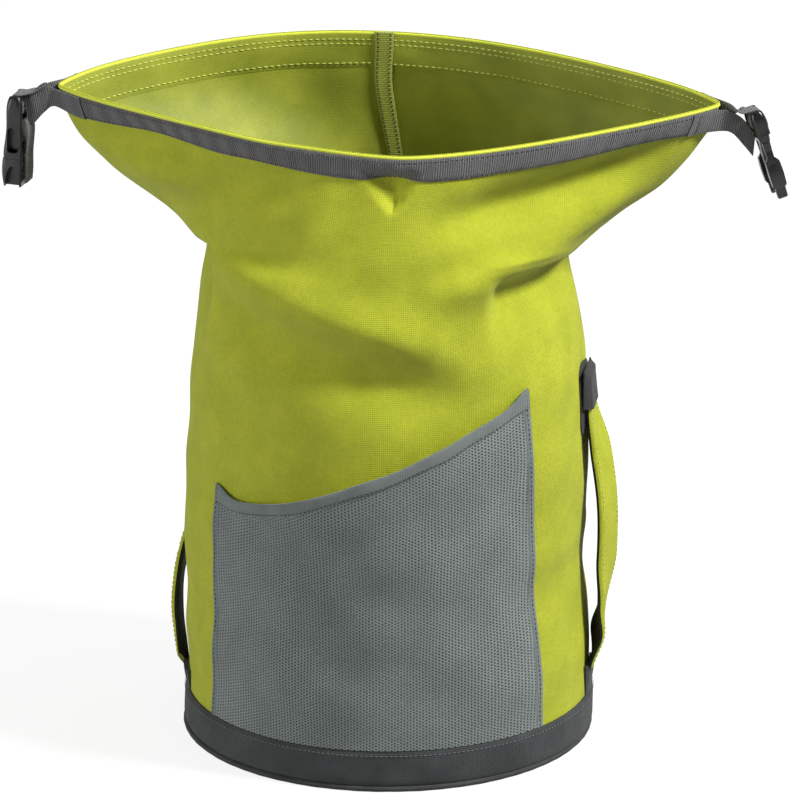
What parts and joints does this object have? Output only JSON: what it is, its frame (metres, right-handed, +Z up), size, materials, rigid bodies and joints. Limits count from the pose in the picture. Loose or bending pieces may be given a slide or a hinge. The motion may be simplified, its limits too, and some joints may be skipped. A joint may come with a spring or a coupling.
{
  "type": "fruit picking bag",
  "caption": "Roll-top canvas harvest bag with a round base, wide flared mouth, mesh pocket, padded grab handles and a side-release buckle.",
  "frame": {"origin": "centre of the round underside, on the ground", "axes": "+Z up, +X towards the side handle and along the width of the mouth, -Y towards the mesh pocket at the front"},
  "size_m": [0.5463, 0.2969, 0.4726],
  "materials": {
    "canvas": "matte coated canvas",
    "canvas_inside": "smooth coated lining",
    "dark_canvas": "matte dark canvas",
    "webbing": "ribbed woven webbing",
    "thread": "sewing thread",
    "mesh": "perforated knitted mesh",
    "foam": "closed cell foam",
    "lining_dark": "dark smooth underside",
    "board": "stiffener sheet",
    "buckle_plastic": "moulded acetal, satin"
  },
  "bodies": {
    "bag": {"back_seam_tape": "canvas_inside", "bartacks": "thread", "base_band": "dark_canvas", "base_board": "board", "base_lining": "canvas_inside", "base_panel": "dark_canvas", "base_piping": "dark_canvas", "body_back_panel": "canvas", "body_front_panel": "canvas", "collar_back_panel": "canvas", "collar_front_panel": "canvas", "pocket_binding_left": "mesh", "pocket_binding_right": "mesh", "pocket_hem": "mesh", "pocket_mesh": "mesh", "rear_handle_bottom_end": "canvas", "rear_handle_patch": "dark_canvas", "rear_handle_tab": "dark_canvas", "rear_handle_top_end": "canvas", "rim_edge": "canvas", "rim_hem": "canvas_inside", "rim_webbing_back": "webbing", "rim_webbing_front": "webbing", "side_handle_bottom_end": "canvas", "side_handle_patch": "dark_canvas", "side_handle_tab": "dark_canvas", "side_handle_top_end": "canvas"},
    "left_tab": {"left_tab": "webbing"},
    "socket": {"buckle_socket": "buckle_plastic", "left_wrap": "webbing", "left_tail": "webbing"},
    "right_tab": {"right_tab": "webbing"},
    "plug": {"plug_body": "buckle_plastic", "right_wrap": "webbing"},
    "plug_arm_front": {"plug_arm_front": "buckle_plastic"},
    "plug_arm_back": {"plug_arm_back": "buckle_plastic"},
    "side_grip": {"side_handle_cover": "canvas", "side_handle_foam": "foam", "side_handle_lining": "lining_dark"},
    "rear_grip": {"rear_handle_cover": "canvas", "rear_handle_foam": "foam", "rear_handle_lining": "lining_dark"}
  },
  "joints": [
    {"name": "left_tab_swing", "type": "hinge", "parent": "bag", "child": "left_tab", "pos_m": [-0.2342, 0, 0.4596], "axis": [0, 1, 0], "range_deg": [-18, 100]},
    {"name": "socket_swing", "type": "hinge", "parent": "left_tab", "child": "socket", "pos_m": [-0.2528, 0, 0.4545], "axis": [0, 1, 0], "range_deg": [-20, 60]},
    {"name": "right_tab_swing", "type": "hinge", "parent": "bag", "child": "right_tab", "pos_m": [0.2342, 0, 0.4596], "axis": [0, -1, 0], "range_deg": [-25, 100]},
    {"name": "plug_swing", "type": "hinge", "parent": "right_tab", "child": "plug", "pos_m": [0.253, 0, 0.4578], "axis": [0, -1, 0], "range_deg": [-22, 60]},
    {"name": "plug_arm_front_squeeze", "type": "hinge", "parent": "plug", "child": "plug_arm_front", "pos_m": [0.26166, -0.00947, 0.43664], "axis": [0.9095, 0.2924, 0.2955], "range_deg": [0, 6], "stiffness_Nm_per_rad": 0.4},
    {"name": "plug_arm_back_squeeze", "type": "hinge", "parent": "plug", "child": "plug_arm_back", "pos_m": [0.25615, 0.00947, 0.43485], "axis": [-0.9095, -0.2924, -0.2955], "range_deg": [0, 6], "stiffness_Nm_per_rad": 0.4},
    {"name": "side_handle_swing", "type": "hinge", "parent": "bag", "child": "side_grip", "pos_m": [0.14541, -0.00508, 0.15], "axis": [0, 0, 1], "range_deg": [-25, 25]},
    {"name": "rear_handle_swing", "type": "hinge", "parent": "bag", "child": "rear_grip", "pos_m": [-0.14399, -0.01866, 0.036], "axis": [0.1662, 0.6203, 0.7666], "range_deg": [-15, 15]}
  ]
}
